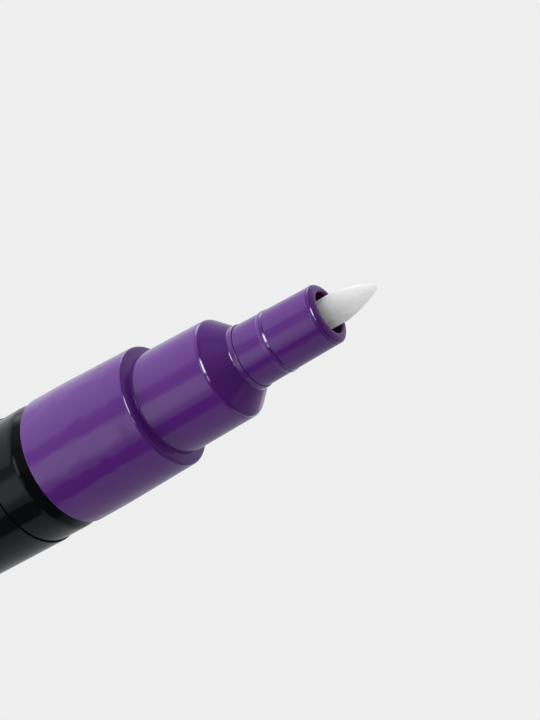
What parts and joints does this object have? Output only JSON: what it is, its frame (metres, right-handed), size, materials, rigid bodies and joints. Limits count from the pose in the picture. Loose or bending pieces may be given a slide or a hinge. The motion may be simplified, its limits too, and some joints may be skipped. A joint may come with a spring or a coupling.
{
  "type": "paint marker",
  "caption": "Valve-action paint marker with a stepped moulded front, a fibre nib that slides in to open a sprung valve, and a capless barrel closed by a tail plug.",
  "frame": {"origin": "middle of the tail plug's end face, on which the marker stands", "axes": "+Z along the marker's axis towards the nib; X and Y are across it"},
  "size_m": [0.0162, 0.0162, 0.14],
  "materials": {
    "barrel_black": "glossy moulded black",
    "label_film": "glossy black film",
    "front_purple": "glossy moulded purple",
    "nib_fibre": "bonded white fibre",
    "valve_plastic": "satin natural plastic",
    "seal_rubber": "matt black rubber",
    "spring_steel": "drawn stainless steel"
  },
  "bodies": {
    "marker_body": {"barrel": "barrel_black", "label_sleeve": "label_film", "tail_plug": "front_purple", "front_section": "front_purple", "front_seal": "seal_rubber", "nozzle": "front_purple", "valve_body": "valve_plastic", "valve_gasket": "seal_rubber", "valve_cage": "valve_plastic", "valve_spring": "spring_steel"},
    "nib_unit": {"nib": "nib_fibre", "valve_stem": "valve_plastic", "stem_seal": "seal_rubber"},
    "ball_unit": {"mixing_ball": "spring_steel"}
  },
  "joints": [
    {"name": "nib_press", "type": "slide", "parent": "marker_body", "child": "nib_unit", "axis": [0, 0, -1], "range_m": [0, 0.0016], "stiffness_N_per_m": 600, "springref_m": -0.002, "deforming": ["valve_spring"]},
    {"name": "ball_run", "type": "slide", "parent": "marker_body", "child": "ball_unit", "axis": [0, 0, 1], "range_m": [0, 0.0708]}
  ]
}
